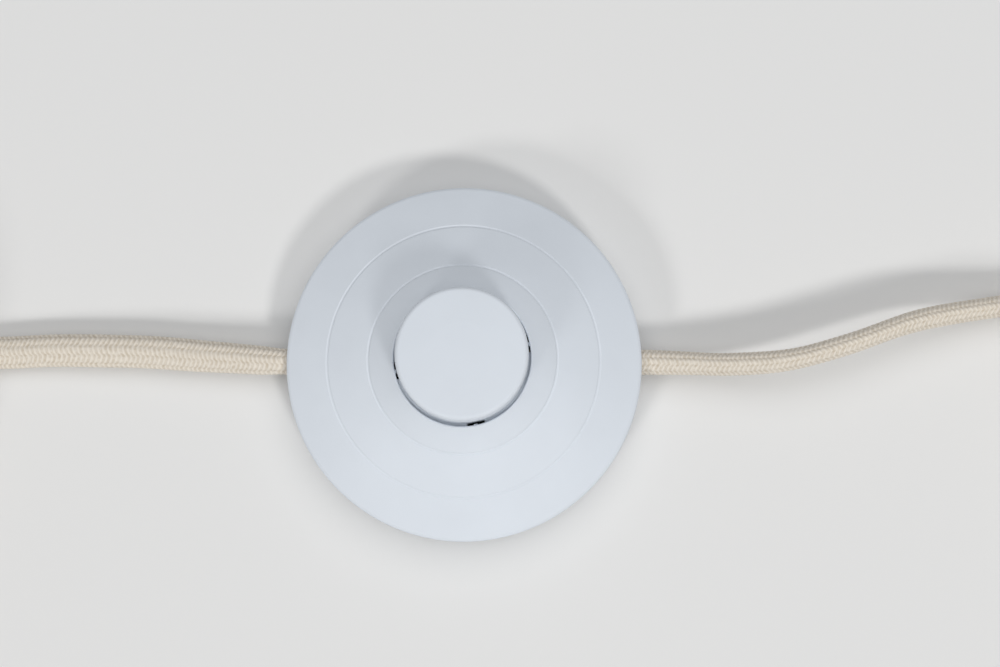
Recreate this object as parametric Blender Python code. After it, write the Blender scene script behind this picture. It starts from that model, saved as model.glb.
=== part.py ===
"""Round foot switch for a lamp cord, with its two cords.

The switch stands on the floor at z = 0 with the button's axis on Z. The mains cord leaves at -X and
ends in a flat two-pin plug, the lamp cord leaves at +X and ends in two bare ferruled cores. Lengths
are written in millimetres and turned into metres when a mesh is made.
"""

import math

import bpy
from mathutils import Vector

MM = 0.001
ROUND = 48                      # sides of the large turned pieces
SMALL_ROUND = 12                # sides of screws, posts and feet

# The cover is a low cone with two ring grooves and a hole for the button.
SKIRT_BOTTOM_Z = 1.3
RIM_R = 35.0
CONE_FOOT_R = 34.45
CONE_FOOT_Z = 10.1
CONE_RISE = 0.445               # height gained per millimetre towards the centre
TOP_RISE = 0.65                 # the same, for the steeper zone beside the hole
GROOVE_RADII = (26.6, 18.3)
GROOVE_HALF = 0.3
GROOVE_DEPTH = 0.3
HOLE_R = 13.15
LEDGE_Z = 19.6                  # underside, at the hole, of the ledge that keeps the button in
BARREL_R = 16.0
BARREL_OUTER_R = 17.4
BARREL_BOTTOM_Z = 12.0
RIB_ANGLES = (11.5, 101.5, 191.5, 281.5)
RIB_HALF = 0.35

# The button and what it drives.
BUTTON_R = 12.65
BUTTON_TOP_Z = 27.2
FLANGE_R = 15.4
FLANGE_GAP = 0.75                # between the flange and the ledge above it
RAMP_START_Z = 9.6
RAMP_RISE = 7.0 / 90.0          # millimetres per degree
RAMP_SPAN = 60.0
FINGER_ANGLE = 45.0
FINGER_ON_RAMP = 52.0
CLEARANCE = 0.3

# The base tray.
BASE_R = 32.9
BASE_BOTTOM_Z = 1.2
BASE_TOP_Z = 3.0
CASE_SCREW_R = 26.0
CASE_SCREW_ANGLES = (90.0, 210.0, 330.0)
FOOT_CIRCLE_R = 25.0
FOOT_ANGLES = (30.0, 150.0, 270.0)
CLAMP_X = 24.0
CLAMP_SCREW_Y = 5.2
CORD_Y = 0.5                    # both cords lie this far off the X axis where they are held
TERMINAL_X = 15.5
TERMINAL_Y = 10.0
CONTACT_R = 10.2

# The cords.
CORD_R = 2.6
CORD_OPENING_R = 2.95
CORD_Z = 5.3                    # middle of the doorways in the case
LAST_CORD_R = 2.4
CORD_SPACING = 11.0

MAINS_ROUTE = (
    (-20.6, 0.5, 5.0), (-27.5, 0.5, 5.05), (-36.5, 0.75, 5.2), (-45.0, 1.4, 4.5),
    (-53.0, 2.0, 4.1), (-63.0, 2.8, 3.8), (-73.0, 3.1, 3.5), (-83.0, 3.2, 3.2), (-93.0, 2.8, 3.0),
    (-102.8, 3.3, 3.1), (-105.3, 3.9, 3.15),
)
LAMP_ROUTE = (
    (20.6, 0.5, 5.0), (27.5, 0.5, 5.05), (36.5, 0.5, 5.2), (45.0, 0.2, 5.9), (52.4, -0.1, 7.0),
    (64.0, 0.6, 8.7), (75.7, 3.65, 9.2), (89.8, 8.5, 8.0), (106.35, 11.6, 5.1),
    (110.5, 12.05, 4.6), (114.9, 12.9, 4.4),
)
MAINS_COIL_CENTRE = (-144.0, -14.9)
MAINS_COIL_RADII = (26.6, 39.9)
MAINS_COIL_Z = (1.05, 15.05)
LAMP_COIL_CENTRE = (153.0, -3.5)
LAMP_COIL_RADII = (29.0, 38.3)
LAMP_COIL_Z = (1.05, 14.35)

MAINS_TOP_RUN_R = 29.9
MAINS_TOP_RUN_Z = 17.75
TURN_IN_R = 28.0
PLUG_AXIS_Z = 27.35
PLUG_Y = MAINS_COIL_CENTRE[1] + 2 * TURN_IN_R - MAINS_TOP_RUN_R
PLUG_TAIL_X = MAINS_COIL_CENTRE[0] - 0.3
PIN_HALF_SPACING = 9.3

WHITE = ((0.80, 0.82, 0.85, 1), 0.42, 0.0)
BLACK = ((0.03, 0.03, 0.03, 1), 0.5, 0.0)
NATURAL = ((0.72, 0.70, 0.62, 1), 0.5, 0.0)
BRASS = ((0.72, 0.50, 0.20, 1), 0.32, 1.0)
STEEL = ((0.60, 0.61, 0.63, 1), 0.3, 1.0)
CREAM = ((0.72, 0.66, 0.55, 1), 0.9, 0.0)
BROWN = ((0.16, 0.07, 0.03, 1), 0.5, 0.0)
BLUE = ((0.03, 0.12, 0.42, 1), 0.5, 0.0)


def clear_scene():
    for obj in list(bpy.data.objects):
        bpy.data.objects.remove(obj)


def material(name, look):
    colour, roughness, metallic = look
    made = bpy.data.materials.new(name)
    made.use_nodes = True
    shader = made.node_tree.nodes["Principled BSDF"]
    shader.inputs["Base Color"].default_value = colour
    shader.inputs["Roughness"].default_value = roughness
    shader.inputs["Metallic"].default_value = metallic
    made.diffuse_color = colour
    return made


def object_from(name, points, faces, look):
    """One object from points in millimetres and faces that look outwards. A cutter has no look."""
    mesh = bpy.data.meshes.new(name)
    mesh.from_pydata([tuple(MM * c for c in p) for p in points], [], faces)
    mesh.validate()
    made = bpy.data.objects.new(name, mesh)
    bpy.context.scene.collection.objects.link(made)
    if look is None:
        made.hide_render = True
        made.display_type = "WIRE"
    else:
        mesh.materials.append(material(name, look))
    return made


def combine(target, tool, operation="DIFFERENCE"):
    step = target.modifiers.new(operation.title() + str(len(target.modifiers)), "BOOLEAN")
    step.operation = operation
    step.solver = "EXACT"
    step.object = tool


def turned(name, outline, look, sides=ROUND, centre=(0.0, 0.0)):
    """A solid of revolution. The outline runs up the outer side and down the inner one."""
    points = []
    rings = []
    for r, z in outline:
        if r == 0.0:
            rings.append([len(points)])
            points.append((centre[0], centre[1], z))
            continue
        rings.append(list(range(len(points), len(points) + sides)))
        for k in range(sides):
            angle = 2 * math.pi * k / sides
            points.append((centre[0] + r * math.cos(angle), centre[1] + r * math.sin(angle), z))
    faces = []
    for low, high in zip(rings, rings[1:] + rings[:1]):
        for k in range(sides):
            after = (k + 1) % sides
            if len(low) == 1 and len(high) == 1:
                break
            if len(low) == 1:
                faces.append((low[0], high[after], high[k]))
            elif len(high) == 1:
                faces.append((low[k], low[after], high[0]))
            else:
                faces.append((low[k], low[after], high[after], high[k]))
    return object_from(name, points, faces, look)


def prism(name, outline, low, high, look):
    """A flat outline, anticlockwise from above, between two heights."""
    count = len(outline)
    points = [(x, y, low) for x, y in outline] + [(x, y, high) for x, y in outline]
    faces = [tuple(reversed(range(count))), tuple(range(count, 2 * count))]
    faces += [(k, (k + 1) % count, count + (k + 1) % count, count + k) for k in range(count)]
    return object_from(name, points, faces, look)


def circle(x, y, r, sides=SMALL_ROUND):
    steps = [2 * math.pi * k / sides for k in range(sides)]
    return [(x + r * math.cos(a), y + r * math.sin(a)) for a in steps]


def rectangle(x0, x1, y0, y1):
    return [(x0, y0), (x1, y0), (x1, y1), (x0, y1)]


def turned_about(outline, degrees):
    a = math.radians(degrees)
    return [(x * math.cos(a) - y * math.sin(a), x * math.sin(a) + y * math.cos(a)) for x, y in outline]


def on_circle(r, degrees, centre=(0.0, 0.0)):
    a = math.radians(degrees)
    return centre[0] + r * math.cos(a), centre[1] + r * math.sin(a)


def tube(name, path, radii, look, sides=10):
    """A round bar along a path, with a radius for each point and flat ends."""
    line = [Vector(p) for p in path]
    side = None
    points = []
    for k, at in enumerate(line):
        along = (line[min(k + 1, len(line) - 1)] - line[max(k - 1, 0)]).normalized()
        if side is None:
            side = along.orthogonal()
        side = (side - along * side.dot(along)).normalized()
        up = along.cross(side)
        for n in range(sides):
            a = 2 * math.pi * n / sides
            points.append(at + radii[k] * (side * math.cos(a) + up * math.sin(a)))
    faces = [tuple(reversed(range(sides))), tuple(range(len(points) - sides, len(points)))]
    for k in range(len(line) - 1):
        for n in range(sides):
            after = (n + 1) % sides
            low, high = k * sides, (k + 1) * sides
            faces.append((low + n, low + after, high + after, high + n))
    return object_from(name, points, faces, look)


def smooth_route(route, spacing):
    """Points about this far apart on a smooth curve through the route's points."""
    knots = [Vector(p) for p in route]
    ends = [2 * knots[0] - knots[1]] + knots + [2 * knots[-1] - knots[-2]]
    points = []
    for before, a, b, after in zip(ends, ends[1:], ends[2:], ends[3:]):
        steps = max(1, round((b - a).length / spacing))
        for k in range(steps):
            t = k / steps
            points.append(0.5 * (2 * a + (b - before) * t + (2 * before - 5 * a + 4 * b - after) * t ** 2
                                 + (3 * a - before - 3 * b + after) * t ** 3))
    return points + [knots[-1]]


def cord(name, path, radius):
    """A free cord as a plain round curve with closed ends."""
    line = bpy.data.curves.new(name, "CURVE")
    line.dimensions = "3D"
    line.bevel_depth = radius * MM
    line.bevel_resolution = 2
    line.use_fill_caps = True
    spline = line.splines.new("POLY")
    spline.points.add(len(path) - 1)
    for point, at in zip(spline.points, path):
        point.co = (at[0] * MM, at[1] * MM, at[2] * MM, 1)
    made = bpy.data.objects.new(name, line)
    bpy.context.scene.collection.objects.link(made)
    line.materials.append(material(name, CREAM))


def cone_z(r):
    """Height of the cover's outer surface."""
    inner_groove = GROOVE_RADII[1]
    if r >= inner_groove:
        return CONE_FOOT_Z + CONE_RISE * (CONE_FOOT_R - r)
    return cone_z(inner_groove) + TOP_RISE * (inner_groove - r)


def ledge_z(r):
    """Height of the ledge's underside, which slopes as the surface above it does."""
    return LEDGE_Z - TOP_RISE * (r - HOLE_R)


def groove(r):
    """Outline of a ring groove, from its outer lip to its inner lip."""
    floor = cone_z(r) - GROOVE_DEPTH
    half = GROOVE_HALF
    return [(r + half, cone_z(r + half)), (r + 0.5 * half, floor),
            (r - 0.5 * half, floor + half * CONE_RISE), (r - half, cone_z(r - half))]


def cord_way(name, x0, x1, first_angle, open_to):
    """A cutter along X for a cord: a half round, carried on straight to the height it opens to."""
    angles = [math.radians(first_angle + 22.5 * k) for k in range(9)]
    rounded = [(CORD_Y + CORD_OPENING_R * math.cos(a), CORD_Z + CORD_OPENING_R * math.sin(a))
               for a in angles]
    section = rounded + [(rounded[-1][0], open_to), (rounded[0][0], open_to)]
    count = len(section)
    points = [(x0, y, z) for y, z in section] + [(x1, y, z) for y, z in section]
    faces = [tuple(reversed(range(count))), tuple(range(count, 2 * count))]
    faces += [(k, (k + 1) % count, count + (k + 1) % count, count + k) for k in range(count)]
    return object_from(name, points, faces, None)


def guide_rib(name, angle):
    """A thin upright wall inside the cover's barrel, under the ledge, that keeps the button from turning."""
    r0, r1 = BUTTON_R + CLEARANCE, BARREL_R + 0.6
    outline = [(r0, BARREL_BOTTOM_Z + 0.2), (r1, BARREL_BOTTOM_Z + 0.2), (r1, ledge_z(r1) + 0.3),
               (r0, ledge_z(r0) + 0.3)]
    points = []
    for half in (-RIB_HALF, RIB_HALF):
        for r, z in outline:
            (x, y), = turned_about([(r, half)], angle)
            points.append((x, y, z))
    faces = [(0, 1, 2, 3), (7, 6, 5, 4), (0, 4, 5, 1), (1, 5, 6, 2), (2, 6, 7, 3), (3, 7, 4, 0)]
    return object_from(name, points, faces, None)


def top_cover():
    outer = [(33.2, SKIRT_BOTTOM_Z), (34.3, SKIRT_BOTTOM_Z), (RIM_R, 9.2), (34.9, 9.75),
             (CONE_FOOT_R, CONE_FOOT_Z)]
    for r in GROOVE_RADII:
        outer += groove(r)
    outer += [(HOLE_R + 0.6, cone_z(HOLE_R + 0.6)), (HOLE_R + 0.2, cone_z(HOLE_R) - 0.1),
              (HOLE_R, cone_z(HOLE_R) - 0.5)]
    inner = [(HOLE_R, LEDGE_Z), (BARREL_R, ledge_z(BARREL_R)), (BARREL_R, BARREL_BOTTOM_Z),
             (BARREL_OUTER_R, BARREL_BOTTOM_Z), (BARREL_OUTER_R, cone_z(BARREL_OUTER_R) - 2.2),
             (32.6, cone_z(32.6) - 2.2), (33.2, 7.8)]
    cover = turned("top_cover", outer + inner, WHITE)
    for k, angle in enumerate(RIB_ANGLES):
        combine(cover, guide_rib(f"rib_{k}", angle), "UNION")
    for k, angle in enumerate(CASE_SCREW_ANGLES):
        x, y = on_circle(CASE_SCREW_R, angle)
        combine(cover, prism(f"boss_{k}", circle(x, y, 2.9), 5.1, 12.2, None), "UNION")
        combine(cover, prism(f"boss_hole_{k}", circle(x, y, 1.6, 10), 4.0, 11.2, None))
    combine(cover, cord_way("left_doorway", -37.0, -30.5, 0.0, 0.0))
    combine(cover, cord_way("right_doorway", 30.5, 37.0, 0.0, 0.0))


def base_tray():
    outline = [(0.0, BASE_BOTTOM_Z), (BASE_R, BASE_BOTTOM_Z), (BASE_R, BASE_TOP_Z),
               (32.3, BASE_TOP_Z), (32.3, 6.6), (30.9, 6.6), (30.9, BASE_TOP_Z), (5.0, BASE_TOP_Z),
               (5.0, 7.7), (3.1, 7.7), (3.1, 14.4), (1.5, 14.4), (1.5, 18.4), (0.0, 18.4)]
    base = turned("base_tray", outline, BLACK, 48)
    for side in (-1, 1):
        for y in (CORD_Y - CLAMP_SCREW_Y, CORD_Y + CLAMP_SCREW_Y):
            name = f"clamp_post_{side}_{y:.0f}"
            combine(base, prism(name, circle(side * CLAMP_X, y, 2.1, 12), 2.5, 7.4, None), "UNION")
            hole = circle(side * CLAMP_X, y, 1.2, 10)
            combine(base, prism(name + "_hole", hole, 3.4, 8.0, None))
        for y in (-TERMINAL_Y, TERMINAL_Y):
            x = side * TERMINAL_X
            seat = rectangle(x - 2.0, x + 2.0, y - 2.0, y + 2.0)
            combine(base, prism(f"seat_{side}_{y:.0f}", seat, 2.5, 5.3, None), "UNION")
        under = circle(side * CONTACT_R, 0.0, 2.0, 12)
        combine(base, prism(f"contact_seat_{side}", under, 2.5, 5.3, None), "UNION")
    combine(base, prism("link_seat", rectangle(-2.0, 2.0, -15.0, -12.8), 2.5, 5.3, None), "UNION")
    for k, angle in enumerate(CASE_SCREW_ANGLES):
        x, y = on_circle(CASE_SCREW_R, angle)
        combine(base, prism(f"pad_{k}", circle(x, y, 4.2), 2.5, 4.8, None), "UNION")
        combine(base, prism(f"counterbore_{k}", circle(x, y, 3.0), 0.0, 3.2, None))
        combine(base, prism(f"screw_way_{k}", circle(x, y, 1.6, 12), 3.0, 6.0, None))
    for k, angle in enumerate(FOOT_ANGLES):
        x, y = on_circle(FOOT_CIRCLE_R, angle)
        combine(base, prism(f"foot_recess_{k}", circle(x, y, 5.3, 20), 0.0, 1.9, None))
    combine(base, cord_way("left_channel", -36.0, -19.5, 180.0, 8.0))
    combine(base, cord_way("right_channel", 19.5, 36.0, 180.0, 8.0))


def feet():
    for k, angle in enumerate(FOOT_ANGLES):
        x, y = on_circle(FOOT_CIRCLE_R, angle)
        turned(f"foot_{k + 1}", [(0.0, 0.0), (4.6, 0.0), (5.0, 0.4), (5.0, 1.6), (0.0, 1.6)],
               ((0.10, 0.10, 0.10, 1), 0.8, 0.0), 20, (x, y))


def screw(name, x, y, under_head, head_r, head_height, shank_r, shank_length, up):
    """A pan-head screw whose head is above its shank when up is 1, or below it when up is -1."""
    rise = [(0.0, -shank_length), (shank_r, -shank_length), (shank_r, 0.0), (head_r, 0.0),
            (head_r, 0.6 * head_height), (0.6 * head_r, head_height), (0.0, head_height)]
    outline = [(r, under_head + up * z) for r, z in rise]
    if up < 0:
        outline.reverse()
    made = turned(name, outline, STEEL, SMALL_ROUND, (x, y))
    top = under_head + up * (head_height + 0.5)
    floor = under_head + up * 0.45 * head_height
    low, high = min(top, floor), max(top, floor)
    half, width = 0.7 * head_r, 0.14 * head_r
    bar = rectangle(x - half, x + half, y - width, y + width)
    combine(made, prism(f"{name}_slot", bar, low, high, None))


def case_screws():
    for k, angle in enumerate(CASE_SCREW_ANGLES):
        x, y = on_circle(CASE_SCREW_R, angle)
        screw(f"case_screw_{k + 1}", x, y, 2.9, 2.6, 1.6, 1.3, 7.4, -1)


def cord_clamps():
    number = 0
    for name, side in (("cord_clamp_mains", -1), ("cord_clamp_lamp", 1)):
        x = side * CLAMP_X
        bar = prism(name, rectangle(x - 2.2, x + 2.2, CORD_Y - 7.6, CORD_Y + 7.6), 7.9, 9.1, NATURAL)
        for y in (CORD_Y - CLAMP_SCREW_Y, CORD_Y + CLAMP_SCREW_Y):
            number += 1
            combine(bar, prism(f"{name}_hole_{number}", circle(x, y, 1.25, 12), 7.0, 10.0, None))
            screw(f"clamp_screw_{number}", x, y, 9.4, 1.8, 1.1, 0.9, 5.4, 1)


def terminal(name, plate, side, y):
    """A clamping block on its brass plate, bored for the core and for the screw."""
    x = side * TERMINAL_X
    away = 1 if y > 0 else -1
    block = rectangle(x - 2.5, x + 2.5, y - 2.5, y + 2.5)
    combine(plate, prism(f"{name}_block", block, 6.0, 10.4, None), "UNION")
    combine(plate, prism(f"{name}_screw_way", circle(x, y, 1.4, 12), 7.8, 12.0, None))
    mouth = [(x, y - away * 3.5, 7.8), (x, y + away * 1.6, 7.8)]
    combine(plate, tube(f"{name}_core_way", mouth, (1.1, 1.1), None, 12))


def terminals():
    for name, side in (("live_in_terminal", -1), ("live_out_terminal", 1)):
        outline = [(-8.6, -1.8), (-8.6, 1.8), (-11.2, 7.5), (-13.0, 12.5), (-18.0, 12.5),
                   (-18.0, 7.5), (-13.6, 7.5), (-12.4, -1.8)]
        if side > 0:
            outline = [(-x, y) for x, y in reversed(outline)]
        plate = prism(name, outline, 5.6, 6.4, BRASS)
        pad = circle(side * CONTACT_R, 0.0, 1.6, 14)
        combine(plate, prism(f"{name}_pad", pad, 6.0, 6.9, None), "UNION")
        terminal(name, plate, side, TERMINAL_Y)
    outline = [(-18.0, -15.0), (18.0, -15.0), (18.0, -7.5), (13.0, -7.5), (13.0, -12.7),
               (-13.0, -12.7), (-13.0, -7.5), (-18.0, -7.5)]
    link = prism("neutral_link", outline, 5.6, 6.4, BRASS)
    terminal("neutral_in", link, -1, -TERMINAL_Y)
    terminal("neutral_out", link, 1, -TERMINAL_Y)
    places = ((-1, 1), (-1, -1), (1, 1), (1, -1))
    for k, (side, away) in enumerate(places):
        screw(f"terminal_screw_{k + 1}", side * TERMINAL_X, away * TERMINAL_Y, 10.7, 2.0, 0.95,
              1.1, 2.0, 1)


def cores():
    """Short insulated cores from each cord to its terminals, with a bare end under the screw."""
    for cord_name, side in (("mains", -1), ("lamp", 1)):
        for core_name, away, look in (("live", 1, BROWN), ("neutral", -1, BLUE)):
            start = (side * 20.3, CORD_Y + away * 1.3, 5.0)
            route = (start, (side * 18.6, CORD_Y + away * 1.6, 5.2),
                     (side * 16.4, away * 3.9, 6.5), (side * TERMINAL_X, away * 6.2, 7.8))
            path = smooth_route(route, 1.2) + [Vector((side * TERMINAL_X, away * 6.9, 7.8))]
            radii = [1.1] * len(path) + [0.7, 0.7]
            path += [Vector((side * TERMINAL_X, away * 7.0, 7.8)),
                     Vector((side * TERMINAL_X, away * 11.0, 7.8))]
            tube(f"{cord_name}_{core_name}_core", path, radii, look, 8)


def button_cap():
    outline = [(10.85, 16.3), (FLANGE_R, 16.3), (FLANGE_R, ledge_z(FLANGE_R) - FLANGE_GAP),
               (BUTTON_R, ledge_z(BUTTON_R) - FLANGE_GAP),
               (BUTTON_R, 25.8), (12.45, 26.35), (12.0, 26.7), (11.3, 26.88), (6.0, 27.1),
               (0.0, BUTTON_TOP_Z), (0.0, 25.2), (10.6, 25.0), (10.85, 24.6)]
    cap = turned("button_cap", outline, WHITE)
    for k, angle in enumerate(RIB_ANGLES):
        notch = turned_about(rectangle(BUTTON_R + 0.05, FLANGE_R + 1.0, -1.7, 1.7), angle)
        combine(cap, prism(f"flange_notch_{k}", notch, 15.5, 19.8, None))


def wedge(name, r0, r1, start, end, low_at, high_at, steps=5):
    """A block between two radii and two angles, whose lower and upper faces may climb with the angle."""
    points = []
    for k in range(steps + 1):
        angle = start + (end - start) * k / steps
        for r, z in ((r0, low_at(angle)), (r1, low_at(angle)), (r1, high_at(angle)), (r0, high_at(angle))):
            points.append((*on_circle(r, angle), z))
    faces = [(0, 1, 2, 3), tuple(4 * steps + k for k in (3, 2, 1, 0))]
    for k in range(steps):
        low, high = 4 * k, 4 * (k + 1)
        for n in range(4):
            after = (n + 1) % 4
            faces.append((low + n, high + n, high + after, low + after))
    return object_from(name, points, faces, None)


def ramp_z(on_ramp):
    return RAMP_START_Z + RAMP_RISE * on_ramp


def button_pusher():
    """The disc under the button, with a tube round the spring and four fingers for the rotor's ramps."""
    outline = [(3.4, 17.5), (4.9, 17.5), (4.9, 23.2), (10.3, 23.2), (10.3, 24.6), (0.0, 24.6),
               (0.0, 23.2), (3.4, 23.2)]
    pusher = turned("button_pusher", outline, NATURAL, 32)
    for k in range(4):
        middle = FINGER_ANGLE + 90.0 * k

        def finger_foot(angle, middle=middle):
            return ramp_z(FINGER_ON_RAMP + angle - middle) + CLEARANCE

        finger = wedge(f"finger_{k}", 5.7, 8.0, middle - 5.0, middle + 5.0, finger_foot,
                       lambda angle: 23.6)
        combine(pusher, finger, "UNION")


def rotor():
    outline = [(3.4, 8.0), (9.2, 8.0), (9.2, RAMP_START_Z), (5.0, RAMP_START_Z), (5.0, 11.0), (3.4, 11.0)]
    made = turned("rotor", outline, BLACK, 32)
    for k in range(4):
        base = FINGER_ANGLE + 90.0 * k - FINGER_ON_RAMP

        def tooth_top(angle, base=base):
            return ramp_z(angle - base)

        tooth = wedge(f"ramp_{k}", 5.4, 8.4, base - 2.0, base + RAMP_SPAN, lambda angle: 9.0, tooth_top)
        combine(made, tooth, "UNION")
    for side in (-1, 1):
        x, y = on_circle(7.0, 45.0 + 90.0 * side)
        combine(made, prism(f"peg_{side}", circle(x, y, 0.8, 10), 7.0, 8.4, None), "UNION")


def contact_bridge():
    """A four-armed cross that joins the fixed contacts at every second eighth of a turn."""
    outline = []
    for k in range(4):
        outline += turned_about([(6.4, -1.6), (11.2, -1.6), (11.8, -1.0), (11.8, 1.0), (11.2, 1.6),
                                 (6.4, 1.6)], 90.0 * k)
        outline += turned_about([(8.5, 0.0)], 90.0 * k + 30.0) + turned_about([(8.5, 0.0)], 90.0 * k + 60.0)
    bridge = prism("contact_bridge", outline, 7.2, 7.7, BRASS)
    combine(bridge, prism("bridge_bore", circle(0.0, 0.0, 5.35, 32), 6.0, 9.0, None))
    for side in (-1, 1):
        x, y = on_circle(7.0, 45.0 + 90.0 * side)
        combine(bridge, prism(f"peg_hole_{side}", circle(x, y, 1.05, 10), 6.0, 9.0, None))


def return_spring():
    turns, steps = 6, 12
    path = []
    for k in range(turns * steps + 1):
        share = k / (turns * steps)
        x, y = on_circle(2.3, 360.0 * turns * share)
        path.append((x, y, 15.05 + (22.55 - 15.05) * share))
    tube("return_spring", path, [0.3] * len(path), STEEL, 6)


def coil_ring(name, centre, radii, heights):
    """The outer shape of a coiled cord: a turned ring with rounded edges."""
    r0, r1 = radii
    z0, z1 = heights
    soft = 1.6
    outline = [(r0 + soft, z0), (r1 - soft, z0), (r1, z0 + soft), (r1, z1 - soft), (r1 - soft, z1),
               (r0 + soft, z1), (r0, z1 - soft), (r0, z0 + soft)]
    turned(name, outline, CREAM, 40, centre)


def coil_tie(name, centre, radii, heights, angle):
    """A flat strap round a coil's section."""
    strap, space, half_width = 0.7, 0.45, 3.0
    inner = (radii[0] - space, radii[1] + space)
    lower, upper = heights[0] - 0.3, heights[1] + 0.3

    def placed(r0, r1, half):
        outline = turned_about(rectangle(r0, r1, -half, half), angle)
        return [(x + centre[0], y + centre[1]) for x, y in outline]

    outside = placed(inner[0] - strap, inner[1] + strap, half_width)
    made = prism(name, outside, lower - strap, upper + strap, BLACK)
    hollow = placed(*inner, half_width + 1.0)
    combine(made, prism(f"{name}_inside", hollow, lower, upper, None))


def mains_cord():
    cord("mains_cord", smooth_route(MAINS_ROUTE, CORD_SPACING), CORD_R)
    coil_ring("mains_coil", MAINS_COIL_CENTRE, MAINS_COIL_RADII, MAINS_COIL_Z)
    coil_tie("mains_coil_tie", MAINS_COIL_CENTRE, MAINS_COIL_RADII, MAINS_COIL_Z, -30.0)
    path = []
    for angle in range(100, 270, 17):
        path.append((*on_circle(MAINS_TOP_RUN_R, angle, MAINS_COIL_CENTRE), MAINS_TOP_RUN_Z))
    turn_centre = (MAINS_COIL_CENTRE[0], MAINS_COIL_CENTRE[1] - MAINS_TOP_RUN_R + TURN_IN_R)
    steps = 12
    for k in range(steps + 1):
        share = k / steps
        height = MAINS_TOP_RUN_Z + (PLUG_AXIS_Z - MAINS_TOP_RUN_Z) * share * share * (3 - 2 * share)
        path.append((*on_circle(TURN_IN_R, -90.0 + 180.0 * share, turn_centre), height))
    cord("mains_cord_end", path, LAST_CORD_R)


def section(x, half_width, half_height, corner):
    """A rounded rectangle across X, centred on the plug's axis."""
    points = []
    for cy, cz, start in ((1, 1, 0), (-1, 1, 90), (-1, -1, 180), (1, -1, 270)):
        for step in (0, 30, 60, 90):
            y, z = on_circle(corner, start + step)
            points.append((x, PLUG_Y + cy * (half_width - corner) + y,
                           PLUG_AXIS_Z + cz * (half_height - corner) + z))
    return points


def plug():
    """A flat two-pin plug with a ribbed tail, lying on the coil with its pins towards -X."""
    sizes = [(0.0, 3.9, 3.4, 3.3), (2.0, 4.3, 3.7, 3.6), (2.6, 4.3, 3.7, 3.6), (2.7, 3.6, 3.2, 3.1),
             (3.7, 3.6, 3.2, 3.1), (3.8, 4.5, 3.9, 3.8), (5.2, 4.5, 3.9, 3.8), (5.3, 3.7, 3.3, 3.2),
             (6.3, 3.7, 3.3, 3.2), (6.4, 4.7, 4.1, 4.0), (9.0, 5.0, 4.4, 4.3), (13.0, 7.6, 5.9, 5.0),
             (19.0, 13.2, 6.7, 5.8), (26.0, 16.6, 6.85, 6.1), (34.0, 17.5, 6.85, 6.2),
             (41.3, 17.65, 6.85, 6.2), (42.0, 17.2, 6.4, 6.0)]
    points = []
    for along, half_width, half_height, corner in sizes:
        points += section(PLUG_TAIL_X - along, half_width, half_height, corner)
    count = 16
    faces = [tuple(range(count)), tuple(reversed(range(len(points) - count, len(points))))]
    for k in range(len(sizes) - 1):
        for n in range(count):
            after = (n + 1) % count
            faces.append((k * count + n, (k + 1) * count + n, (k + 1) * count + after, k * count + after))
    body = object_from("plug_body", points, faces, WHITE)
    face_x = PLUG_TAIL_X - sizes[-1][0]
    for k, away in enumerate((-1, 1)):
        y = PLUG_Y + away * PIN_HALF_SPACING
        hole = [(face_x + 6.0, y, PLUG_AXIS_Z), (face_x - 2.0, y, PLUG_AXIS_Z)]
        combine(body, tube(f"pin_hole_{k}", hole, (2.3, 2.3), None, 14))
        tip_y = PLUG_Y + away * (PIN_HALF_SPACING - 0.55)
        pin = [(face_x + 5.7, y, PLUG_AXIS_Z), (face_x, y, PLUG_AXIS_Z),
               (face_x - 18.0, tip_y, PLUG_AXIS_Z), (face_x - 19.0, tip_y, PLUG_AXIS_Z)]
        tube(f"plug_pin_{k + 1}", pin, (2.0, 2.0, 2.0, 1.1), BRASS, 14)


def in_lamp_coil(degrees, r, z):
    """A point inside the lamp cord's coil, by angle, distance from its centre and height."""
    return (*on_circle(r, degrees, LAMP_COIL_CENTRE), z)


def lamp_cord():
    cord("lamp_cord", smooth_route(LAMP_ROUTE, CORD_SPACING), CORD_R)
    coil_ring("lamp_coil", LAMP_COIL_CENTRE, LAMP_COIL_RADII, LAMP_COIL_Z)
    coil_tie("lamp_coil_tie", LAMP_COIL_CENTRE, LAMP_COIL_RADII, LAMP_COIL_Z, 20.0)
    route = [in_lamp_coil(angle, r, z) for angle, r, z in
             ((342, 26.0, 4.3), (320, 25.7, 4.0), (290, 25.4, 3.7), (260, 25.2, 3.5),
              (230, 25.0, 3.5), (200, 24.9, 3.5), (170, 24.6, 3.5), (148, 24.0, 3.5), (126, 23.2, 3.5))]
    cord("lamp_cord_end", smooth_route(route, 8.0), CORD_R)
    sleeve = [in_lamp_coil(angle, r, z) for angle, r, z in
              ((123.2, 23.0, 3.5), (117, 22.6, 3.5), (109, 22.0, 3.5), (101, 21.2, 3.5))]
    tube("lamp_end_sleeve", sleeve, (3.1, 3.2, 3.2, 2.9), BLACK, 14)
    for name, shift, look in (("live", 1.4, BROWN), ("neutral", -1.4, BLUE)):
        core = [in_lamp_coil(99.2, 21.1 + 0.9 * shift, 3.5)]
        core += [in_lamp_coil(angle, r + shift * spread, z) for angle, r, spread, z in
                 ((90, 20.0, 1.2, 2.6), (76, 18.4, 1.9, 1.8), (60, 16.6, 2.4, 1.5), (44, 15.0, 2.6, 1.4))]
        path = smooth_route(core, 2.2)
        tube(f"lamp_tail_{name}", path, [1.15] * len(path), look, 8)
        heading = (path[-1] - path[-2]).normalized()
        tip = path[-1] + 0.3 * heading
        ferrule = [tip, tip + 2.0 * heading, tip + 2.1 * heading, tip + 8.0 * heading]
        tube(f"ferrule_{name}", ferrule, (1.3, 1.3, 0.75, 0.75), STEEL, 10)


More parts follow.
